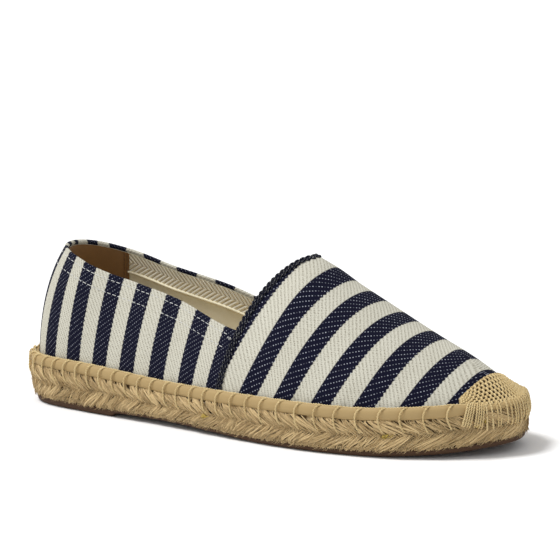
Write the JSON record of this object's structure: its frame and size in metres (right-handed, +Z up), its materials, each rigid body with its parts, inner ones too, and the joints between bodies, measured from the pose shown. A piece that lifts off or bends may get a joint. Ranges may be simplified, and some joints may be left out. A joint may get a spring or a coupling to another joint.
{
  "type": "espadrille, right shoe",
  "caption": "Flat slip-on espadrille for the right foot, with a striped canvas upper, braided jute sole, stitched rand, cord toe cap and rubber outsole.",
  "frame": {"origin": "centre of the bounding box in X and Y, on the floor that the shoe stands on", "axes": "+X toward the toe, +Y toward the inner (medial) side of the foot, +Z up"},
  "size_m": [0.2514, 0.0836, 0.0748],
  "materials": {
    "rubber_brown": "matte",
    "jute_braid": "matte",
    "rand_tan": "satin",
    "striped_canvas": "matte",
    "toe_cord": "matte",
    "insole_canvas": "matte"
  },
  "bodies": {
    "root": {"outsole": "rubber_brown", "jute_sole": "jute_braid", "rand": "rand_tan", "upper": "striped_canvas", "toe_cap": "toe_cord", "insole": "insole_canvas"}
  },
  "joints": []
}
